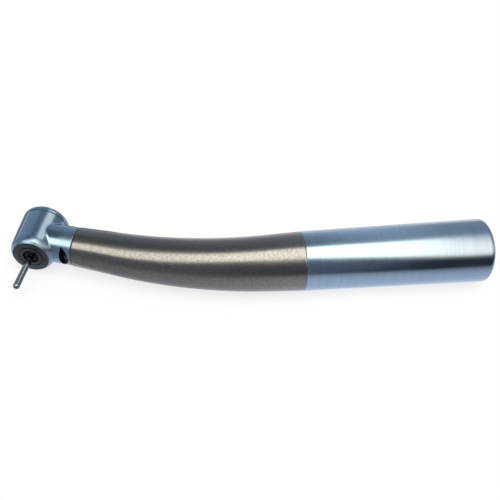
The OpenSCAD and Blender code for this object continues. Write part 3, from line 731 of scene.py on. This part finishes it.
def window_frame():
    """Frame at the middle of the light port's facet, with Z out of it."""
    run = PORT_DEPTH / math.tan(PORT_A)
    place = Matrix.Translation(Vector((0, PORT_DEPTH / 2 - NECK_R, PORT_START + run / 2)) * MM)
    return NECK @ place @ Matrix.Rotation(math.pi / 2 - PORT_A, 4, "X")


def straight_bore(name, start, end, radius, place, sides=BORE_SIDES):
    """Cutter for a bore between two points of a frame, in millimetres."""
    way = Vector(end) - Vector(start)
    turn = way.to_track_quat("Z", "X").to_matrix().to_4x4()
    outline = [(0, 0), (radius, 0), (radius, way.length), (0, way.length)]
    return lathe(name, outline, place @ Matrix.Translation(Vector(start) * MM) @ turn, sides)


def passage_cutters():
    """Bores of the neck for air, water and light, with the seats of the tubes' ends."""
    start = -NECK_SPIGOT_L - MARGIN
    chamber_end = HEAD_REACH - math.sqrt(CHAMBER_R ** 2 - (DRIVE[0] + EXHAUST[2]) ** 2) + MARGIN
    spray_end = HEAD_REACH - CHAMBER_R - SPRAY_WALL
    run = PORT_DEPTH / math.tan(PORT_A)
    guide_end = PORT_START + run / 2 - WINDOW_L * math.sin(PORT_A) - WINDOW_R * math.cos(PORT_A)
    sprays = [(tube, spray_end) for tube in SPRAY_TUBES]
    ends = [(DRIVE, chamber_end), (EXHAUST, chamber_end), *sprays, (GUIDE, guide_end)]
    cutters = []
    for k, ((x, y, bore, seat), end) in enumerate(ends):
        cutters.append(straight_bore(f"passage_{k}", (x, y, start), (x, y, end), bore, NECK))
        seat_end = min(end, TUBE_SEAT - NECK_SPIGOT_L)
        cutters.append(straight_bore(f"seat_{k}", (x, y, start), (x, y, seat_end), seat + FIT, NECK))
    return cutters


def spray_cutters():
    """Two spray passages that meet in one hole in the lower face."""
    cutters = []
    for side in (-1, 1):
        top = Vector((SPRAY_TOP.x, side * SPRAY_TOP.y, SPRAY_TOP.z))
        foot = SPRAY_FOOT - (top - SPRAY_FOOT).normalized()
        cutters.append(straight_bore(f"spray_{side}", foot, top, SPRAY_R, HEAD, SPRAY_SIDES))
    return cutters


def finish_head(obj):
    """Gives the lower face a matte, much darker copy of the head's steel as painted shade, and paints
    near-black shade into the light port and the spray hole.
    """
    # Slot 1 holds the face's darker steel with painted shade, slot 2 the near-black painted shade
    face, dark = 1, 2
    face_skin = FACE_Z + 0.04
    hair = 0.01
    obj.data.materials.append(FACE_SHADE)
    obj.data.materials.append(PORT_SHADE)
    to_neck = NECK_IN_HEAD.inverted()
    port_top = PORT_DEPTH - NECK_R + hair
    port_end = PORT_START + PORT_DEPTH / math.tan(PORT_A) + PORT_FRONT + hair
    for polygon in obj.data.polygons:
        centre = polygon.center / MM
        if centre.z < face_skin and math.hypot(centre.x, centre.y) > NOSE_RING_R + FIT:
            polygon.material_index = face
        at_neck = to_neck @ polygon.center / MM
        inside = math.hypot(at_neck.x, at_neck.y) < NECK_R - 2 * hair
        # The light port's inside gets the painted shade
        if inside and at_neck.y < port_top and PORT_START < at_neck.z < port_end:
            polygon.material_index = dark
        # So does the inside of the spray hole
        at_spray = math.hypot(centre.x - SPRAY_FOOT.x, centre.y - SPRAY_FOOT.y) < 2 * SPRAY_R
        if at_spray and face_skin < centre.z < FLOOR_Z:
            polygon.material_index = dark


def build_head_shell():
    outline = head_solid()
    obj = lathe("head_shell_body", dense(outline, HEAD_MESH_STEP), HEAD, HEAD_SIDES)
    corners = [(0, -NECK_SPIGOT_L), (NECK_SPIGOT_R, -NECK_SPIGOT_L, EDGE), (NECK_SPIGOT_R, GASKET_T),
               (NECK_R, GASKET_T, SEAM_EDGE), (NECK_R, HEAD_REACH), (0, HEAD_REACH)]
    neck = lathe("neck_tube", dense(rounded(corners), HEAD_MESH_STEP), NECK, NECK_SIDES)
    combine(obj, [neck], "UNION")
    fillet_neck(obj, head_profile())
    nose = NOSE_RING_R + FIT
    groove = FLOOR_Z + WASHER_ROOM + BEARING_W / 2
    groove_low, groove_high = groove - SEAL_GROOVE_H / 2, groove + SEAL_GROOVE_H / 2
    inside = [(0, FACE_Z - PAST), (nose + PAST + MARGIN, FACE_Z - PAST), (nose, FACE_Z + MARGIN),
              (nose, NOSE_FLANGE_Z), (SEAT_R, NOSE_FLANGE_Z), (SEAT_R, groove_low),
              (SEAL_GROOVE_R, groove_low), (SEAL_GROOVE_R, groove_high), (SEAT_R, groove_high),
              (SEAT_R, LEDGE_Z), (CHAMBER_R, LEDGE_Z), (CHAMBER_R, CAP_TOP), (0, CAP_TOP)]
    chamber = lathe("chamber", inside, HEAD)
    seat_r, seat_end = WINDOW_R + FIT, -WINDOW_L - WINDOW_ROOM
    seat_outline = [(0, seat_end), (seat_r, seat_end), (seat_r, 2 * PAST), (0, 2 * PAST)]
    seat = lathe("window_seat", seat_outline, window_frame(), WINDOW_SIDES)
    combine(obj, [chamber, *spray_cutters(), port_notch(), seat, *passage_cutters()], "DIFFERENCE")
    fit(obj, "handle", HEAD_STEEL, "satin_steel", "head_shell", "neck")
    finish_head(obj)
    return obj


def build_light_window():
    corners = [(0, -WINDOW_L), (WINDOW_R, -WINDOW_L), (WINDOW_R, -SEAM_EDGE, SEAM_EDGE), (0, 0)]
    obj = lathe("light_window_rod", rounded(corners), window_frame(), WINDOW_SIDES)
    return fit(obj, "handle", WINDOW_SHADE, "light_glass", "light_window")


def build_nose_ring():
    groove = 0.5 * (NOSE_HOLE_R + NOSE_RING_R)
    slot_r, slot_z = NOSE_RING_R - NOSE_SLOT, FACE_Z + NOSE_SLOT_D
    corners = [(NOSE_HOLE_R, FACE_Z, MOUTH_EDGE), (groove - NOSE_GROOVE, FACE_Z),
               (groove, FACE_Z + NOSE_GROOVE_D), (groove + NOSE_GROOVE, FACE_Z),
               (slot_r, FACE_Z, NOSE_SLOT_EDGE), (slot_r, slot_z), (NOSE_RING_R, slot_z),
               (NOSE_RING_R, NOSE_FLANGE_Z), (SEAT_R - FIT, NOSE_FLANGE_Z), (SEAT_R - FIT, FLOOR_Z),
               (NOSE_HOLE_R, FLOOR_Z)]
    obj = lathe("nose_ring_face", rounded(corners), HEAD)
    return fit(obj, "handle", FACE_SHADE, "face_steel", "nose_ring")


def build_back_cap():
    top = arc(TOP_CENTRE, TOP_ROUND, 0, 90, ROUND_STEPS)
    edge = CAP_SEAM + SEAM_GAP
    groove = [(SEAM_R, CAP_SEAM), (SEAM_R, edge), (wall_at(edge), edge, SEAM_LIP)]
    corners = [(SKIRT_R, SKIRT_Z, EDGE), (SKIRT_R, CAP_SEAM), *groove, *top,
               (BUTTON_HOLE_R, CAP_TOP, CAP_EDGE), (BUTTON_HOLE_R, LIP_Z), (POCKET_R, LIP_Z),
               (POCKET_R, SKIRT_Z)]
    obj = lathe("back_cap_shell", rounded(corners), HEAD)
    return fit(obj, "handle", HEAD_STEEL, "satin_steel", "back_cap")


def build_push_button():
    sphere = (BUTTON_R ** 2 + BUTTON_CROWN ** 2) / (2 * BUTTON_CROWN)
    centre = CAP_TOP + BUTTON_CROWN - sphere
    steps = spaced(BUTTON_R - CAP_EDGE, 0, CROWN_STEPS)
    crown = [(r, centre + math.sqrt(sphere ** 2 - r ** 2)) for r in steps]
    flange_top = LIP_Z - BUTTON_PLAY
    corners = [(0, BOSS_Z), (BOSS_R, BOSS_Z, EDGE), (BOSS_R, FLANGE_Z), (BUTTON_FLANGE_R, FLANGE_Z),
               (BUTTON_FLANGE_R, flange_top), (BUTTON_R, flange_top), (BUTTON_R, CAP_TOP, CAP_EDGE),
               *crown]
    obj = lathe("push_button_cap", rounded(corners), HEAD)
    return fit(obj, "button", HEAD_STEEL, "satin_steel", "push_button")


def build_spindle():
    corners = [(BUR_BORE, SPINDLE_Z, FINE_EDGE), (SPINDLE_R, SPINDLE_Z, EDGE), (SPINDLE_R, LEDGE_Z),
               (SHAFT_R, LEDGE_Z), (SHAFT_R, SKIRT_Z), (SPINDLE_R, SKIRT_Z), (SPINDLE_R, SPINDLE_TOP),
               (CHUCK_R, SPINDLE_TOP), (CHUCK_R, CHUCK_Z), (BUR_BORE, CHUCK_Z)]
    obj = lathe("spindle_tube", rounded(corners), HEAD, ROTOR_SIDES)
    return fit(obj, "rotor", SPINDLE_SHADE, "spindle_steel", "spindle")


def build_bur():
    tip = arc((0, BUR_TIP + BUR_R), BUR_R, -90, 0, ROUND_STEPS)
    corners = [(0, BUR_TIP), *tip[1:], (BUR_R, BUR_TOP, EDGE), (0, BUR_TOP)]
    obj = lathe("bur_blank", rounded(corners), HEAD, ROTOR_SIDES)
    return fit(obj, "bur", BUR, "bur_steel", "bur")


def build_spring(node, body):
    """Wound spring in place of its CAD node, from its own copy of the node's mesh."""
    obj = bpy.data.objects.new(f"{node}_coil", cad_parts[node].data.copy())
    bpy.context.scene.collection.objects.link(obj)
    smooth(obj.data)
    fit(obj, body, SPRING, "spring_steel", node)
    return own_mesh(obj)


build_rear_sleeve()
build_grip_sleeve()
build_coupling_socket()
build_neck_gasket()
build_head_shell()
build_light_window()
build_nose_ring()
build_back_cap()
build_push_button()
build_spindle()
build_bur()
build_spring("button_spring", "handle")
build_spring("chuck_spring", "rotor")

# CAD nodes that keep their own shape
KEPT = {
    RUBBER: ("joint_seal", "front_oring", "rear_oring"),
    BRASS: ("tube_plate",),
    TUBE: ("drive_air_tube", "chip_air_tube", "water_tube"),
    GLASS: ("light_guide",),
    SPRING: ("preload_washer",),
    BEARING: ("front_outer_ring", "rear_outer_ring", "front_inner_ring", "rear_inner_ring",
              "bearing_cup"),
    BALL: ("front_balls", "rear_balls"),
    CAGE: ("front_cage", "rear_cage"),
    IMPELLER: ("impeller",),
    CHUCK: ("chuck",),
    SPINDLE_SHADE: ("chuck_plunger",),
}
for material, names in KEPT.items():
    for name in names:
        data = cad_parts[name].data
        data.materials.clear()
        data.materials.append(material)


# Stage: floor, cards and lights, in metres
BLACK = (0, 0, 0, 1)
WHITE = (1, 1, 1, 1)
FLOOR_SIZE = 3.0
FLOOR_GAP = 0.00001
FLOOR_GRAIN = 400.0
FLOOR_DARK = (0.86, 0.88, 0.935)
FLOOR_LIGHT = (0.88, 0.90, 0.955)
FLOOR_WHITE = 0.75
BACKDROP_R = 4.5
BACKDROP_SIDES = 48
CARD_LIFT = 0.00005

# Card in front of the part. Pairs are (place along the part, number) points of an even change.
CARD_TINT = (0.98, 1.0, 1.05)
CARD_SIZE = 1.5
CARD_NEAR = 0.004
CARD_SLANT = 0.07
CARD_PALE = ((-0.11, 0.5), (-0.045, 1.1))
CARD_DARK = ((-0.05, 0.3), (0.0, 0.01))
CARD_FADE = ((-0.05, 0.075), (0.0, 0.048))

# Card behind the head: its sides, and (place across, strength) points
HEAD_CARD = ((-0.17, -0.093), (0.022, 0.12))
HEAD_CARD_TINT = (0.8, 1.0, 1.2)
HEAD_CARD_FADE = ((0.02, 0.25), (0.12, 0.5))

# Softboxes for the head: the radiance of each size, and where they stand
HEAD_LAMPS = {0.026: 1.6, 0.043: 1.25}
HEAD_LAMP_COLOUR = (1.0, 0.8, 0.6)
HEAD_LAMP_REACH = 0.085
HEAD_LAMP_WAY = (0.495, 0.44, 0.74)
HEAD_LAMP_PIECES = ("head_shell_body", "back_cap_shell", "push_button_cap", "bur_blank")

# Light tent, by direction (x, y, z). Angles run from the back over the top to the front, and pairs are
# (x, number) points of an even change.
KEY_COLOUR = (1.0, 0.95, 0.77)
KEY_WARM_COLOUR = (1.0, 0.8, 0.6)
KEY_WARM = ((0.15, 0.0), (0.38, 1.0))
KEY_FAR = ((-0.5, math.radians(102.5)), (0.05, math.radians(83)))
KEY_FAR_RIGHT = ((0.36, 0.0), (0.46, math.radians(12)))
KEY_NEAR = math.radians(120.5)
KEY_NEAR_LEFT = ((-0.5, math.radians(17)), (-0.08, 0.0))
KEY_NEAR_RIGHT = ((0.03, 0.0), (0.42, math.radians(32)))
KEY_SOFT_FAR = ((0.32, math.radians(3)), (0.41, math.radians(28)))
KEY_SOFT_NEAR = ((0.3, math.radians(3)), (0.4, math.radians(8)))
KEY_LEFT_END = (-0.83, -0.67)
KEY_LEVELS = (((0.48, 1.0), (0.62, 0.48)), ((0.2, 4.2), (0.38, 3.55)), ((0.37, 1.0), (0.41, 0.84)),
              ((-0.3, 0.8), (-0.05, 1.0)))
BACK_COLOUR = (0.92, 1.0, 1.1)
BACK_LEVELS = (((-0.45, 0.48), (0.05, 0.8)), ((0.1, 0.0), (0.24, 0.26)), ((0.26, 0.0), (0.4, -0.55)))
BACK_ENDS = (((-0.95, 0.5), (-0.55, 1.0)), ((0.62, 1.0), (0.8, 0.75)))
BACK_RISE = 0.7
BACK_FADE = ((0.12, 0.7), (0.4, 0.1))
BACK_EDGE = (-0.3, 0.1)
FRONT_COLOUR = (0.98, 1.0, 1.06)
FRONT_LEVEL = ((-0.4, 0.28), (0.0, 0.17))
FRONT_END = (0.36, 0.2)
FRONT_HAZE = (0.006, 0.02, 0.04)
SIDE_COLOUR = (0.68, 1.0, 1.08)
SIDE_LEVEL = 0.26
SIDE_END = (-0.02, -0.25)
SIDE_LOW = (0.02, 0.25)
SIDE_HIGH = (0.85, 0.62)

# Camera: place and axes in the row frame, the place and the lens in millimetres
CAMERA_AT = (-82.507, -117.446, 122.989)
CAMERA_RIGHT = (0.98970, -0.13374, 0.05108)
CAMERA_UP = (0.05824, 0.70208, 0.70972)
CAMERA_BACK = (-0.13078, -0.69943, 0.70263)
LENS = 49.5576
SENSOR = 36
CLIP_START = 0.005


def floor_paper():
    """White paper that still looks white, with a light shadow, to the camera and in gloss and glass."""
    material, tree, shader = new_material("floor", Roughness=0.9, Specular_IOR_Level=0.0)
    paper = tones(tree, noise(tree, FLOOR_GRAIN), FLOOR_DARK, FLOOR_LIGHT)
    tree.links.new(paper, shader.inputs["Base Color"])
    path = add(tree, "ShaderNodeLightPath").outputs
    rays = [path[kind] for kind in ("Is Camera Ray", "Is Glossy Ray", "Is Transmission Ray")]
    share = calc(tree, "MULTIPLY", chain(tree, "MAXIMUM", *rays), FLOOR_WHITE)
    white = add(tree, "ShaderNodeEmission", {"Color": WHITE, "Strength": 1.0})
    shaders = {0: share, 1: shader.outputs["BSDF"], 2: white.outputs["Emission"]}
    both = add(tree, "ShaderNodeMixShader", shaders)
    tree.links.new(both.outputs["Shader"], tree.nodes["Material Output"].inputs["Surface"])
    return material


def card_paper(name, tint):
    """Matt card that shows its tint times a strength, with that strength's socket and the place on it."""
    material, tree, shader = new_material(name, Roughness=1.0, Specular_IOR_Level=0.0, Base_Color=BLACK,
                                          Emission_Color=(*tint, 1))
    return material, tree, shader.inputs["Emission Strength"], own_place(tree)


def front_paper():
    """Fades from pale beside the part to dark away from it, palest at the rear sleeve."""
    material, tree, strength, place = card_paper("front_card", CARD_TINT)
    edge = calc(tree, "MULTIPLY_ADD", place["X"], -CARD_SLANT, -CARD_NEAR)
    away = calc(tree, "SUBTRACT", edge, place["Y"])
    pale = track(tree, place["X"], *CARD_PALE)
    dark = track(tree, place["X"], *CARD_DARK)
    fade = track(tree, place["X"], *CARD_FADE)
    tree.links.new(ranged(tree, away, pale, dark, 0.0, fade), strength)
    return material


def head_paper():
    """Dark blue that lightens away from the head."""
    material, tree, strength, place = card_paper("head_card", HEAD_CARD_TINT)
    tree.links.new(track(tree, place["Y"], *HEAD_CARD_FADE), strength)
    return material


def flat_piece(name, place, corners, material):
    """Flat piece of the stage, from corners in a frame of the floor."""
    mesh = bmesh.new()
    mesh.faces.new([mesh.verts.new((u, v, 0)) for u, v in corners])
    obj = make(name, mesh, place)
    obj.data.materials.append(material)
    return obj


def build_card(name, place, corners, material):
    """Card that only reflections show."""
    card = flat_piece(name, place, corners, material)
    card.visible_camera = False
    card.visible_diffuse = False
    card.visible_shadow = False


def build_floor():
    """Pale floor along the underside of the rear sleeve, which carries the weight, with its two cards."""
    rear = Vector((MOUTH - REAR_ROUND, 0, -rear_at(REAR_ROUND)))
    joint = Vector((MOUTH - REAR_L, 0, -JOINT_R))
    along = (rear - joint).normalized()
    across = Vector((0, 1, 0))
    place = placed(rear, along, across, along.cross(across))
    sides = ((-1, -1), (1, -1), (1, 1), (-1, 1))
    corners = [(FLOOR_SIZE * u, FLOOR_SIZE * v) for u, v in sides]
    flat_piece("floor", place @ Matrix.Translation((0, 0, -FLOOR_GAP)), corners, floor_paper())
    lifted = place @ Matrix.Translation((0, 0, CARD_LIFT))
    drop = CARD_SLANT * CARD_SIZE
    front = [(-CARD_SIZE, -CARD_SIZE), (CARD_SIZE, -CARD_SIZE), (CARD_SIZE, -CARD_NEAR - drop),
             (-CARD_SIZE, -CARD_NEAR + drop)]
    build_card("front_card", lifted, front, front_paper())
    (left, right), (low, high) = HEAD_CARD
    head = [(left, low), (right, low), (right, high), (left, high)]
    build_card("head_card", lifted, head, head_paper())


def build_backdrop():
    """White backdrop all around, for the camera and glass: metal reflects the light tent instead."""
    material = new_material("backdrop", Roughness=1.0, Specular_IOR_Level=0.0, Base_Color=BLACK,
                            Emission_Color=WHITE, Emission_Strength=1.0)[0]
    mesh = bmesh.new()
    bmesh.ops.create_uvsphere(mesh, u_segments=BACKDROP_SIDES, v_segments=BACKDROP_SIDES // 2,
                              radius=BACKDROP_R)
    obj = make("backdrop", mesh)
    obj.data.materials.append(material)
    obj.visible_diffuse = False
    obj.visible_glossy = False
    obj.visible_shadow = False


def build_world():
    """Light tent: a long overhead softbox, bowed towards the camera at its ends, with soft fills behind
    the part, beside its head and in front of it."""
    world = bpy.data.worlds.new("studio")
    world.use_nodes = True
    tree = world.node_tree
    where = add(tree, "ShaderNodeTexCoord").outputs["Generated"]
    parts = add(tree, "ShaderNodeSeparateXYZ", {"Vector": where}).outputs
    x, y, z = (parts[axis] for axis in "XYZ")

    far = chain(tree, "ADD", track(tree, x, *KEY_FAR), track(tree, x, *KEY_FAR_RIGHT))
    near = chain(tree, "ADD", track(tree, x, *KEY_NEAR_RIGHT), track(tree, x, *KEY_NEAR_LEFT), KEY_NEAR)
    soft_far, soft_near = track(tree, x, *KEY_SOFT_FAR), track(tree, x, *KEY_SOFT_NEAR)
    strip = band(tree, calc(tree, "ARCTAN2", z, y), far, near, soft_far, soft_near)
    levels = [track(tree, x, *points) for points in KEY_LEVELS]
    key = chain(tree, "MULTIPLY", strip, shaped(tree, x, *KEY_LEFT_END), *levels)
    key_warm = calc(tree, "MULTIPLY", key, track(tree, x, *KEY_WARM))
    key_plain = calc(tree, "SUBTRACT", key, key_warm)

    back_share = shaped(tree, y, *BACK_EDGE)
    front_share = calc(tree, "SUBTRACT", 1.0, back_share)
    level = chain(tree, "ADD", *[track(tree, x, *points) for points in BACK_LEVELS])
    rise = calc(tree, "POWER", calc(tree, "MAXIMUM", z, 0.0), BACK_RISE)
    fade = calc(tree, "MULTIPLY", rise, track(tree, x, *BACK_FADE))
    ends = [track(tree, x, *points) for points in BACK_ENDS]
    back = chain(tree, "MULTIPLY", level, calc(tree, "SUBTRACT", 1.0, fade), *ends, back_share)
    front = chain(tree, "MULTIPLY", track(tree, x, *FRONT_LEVEL), shaped(tree, x, *FRONT_END),
                  front_share)
    side = chain(tree, "MULTIPLY", shaped(tree, x, *SIDE_END), shaped(tree, z, *SIDE_LOW),
                 shaped(tree, z, *SIDE_HIGH), back_share, SIDE_LEVEL)

    lights = [(key_plain, KEY_COLOUR), (key_warm, KEY_WARM_COLOUR), (back, BACK_COLOUR),
              (front, FRONT_COLOUR), (side, SIDE_COLOUR), (front_share, FRONT_HAZE)]
    total, *others = [lit(tree, strength, colour) for strength, colour in lights]
    for other in others:
        total = add(tree, "ShaderNodeVectorMath", {0: total, 1: other}).outputs["Vector"]
    tree.links.new(total, tree.nodes["Background"].inputs["Color"])
    bpy.context.scene.world = world


def build_head_lamps():
    """Two small softboxes that draw the stripe down the head and the bur, and light nothing else."""
    lit_pieces = bpy.data.collections.new("head_pieces")
    for name in HEAD_LAMP_PIECES:
        lit_pieces.objects.link(bpy.data.objects[name])
    away = Vector(HEAD_LAMP_WAY).normalized()
    turn = away.to_track_quat("Z", "Y").to_matrix().to_4x4()
    for size, radiance in HEAD_LAMPS.items():
        area = math.pi * (size / 2) ** 2
        data = bpy.data.lights.new("head_softbox", "AREA")
        data.shape = "DISK"
        data.size = size
        data.color = HEAD_LAMP_COLOUR
        data.energy = radiance * math.pi * area
        lamp = bpy.data.objects.new("head_softbox", data)
        lamp.matrix_world = Matrix.Translation(HEAD.translation + HEAD_LAMP_REACH * away) @ turn
        bpy.context.scene.collection.objects.link(lamp)
        lamp.light_linking.receiver_collection = lit_pieces


def build_camera():
    data = bpy.data.cameras.new("camera")
    data.lens = LENS
    data.sensor_width = SENSOR
    data.clip_start = CLIP_START
    camera = bpy.data.objects.new("camera", data)
    camera.matrix_world = placed(CAMERA_AT, CAMERA_RIGHT, CAMERA_UP, CAMERA_BACK)
    bpy.context.scene.collection.objects.link(camera)
    bpy.context.scene.camera = camera


build_floor()
build_backdrop()
build_world()
build_head_lamps()
build_camera()
bpy.context.scene.view_settings.view_transform = "Standard"
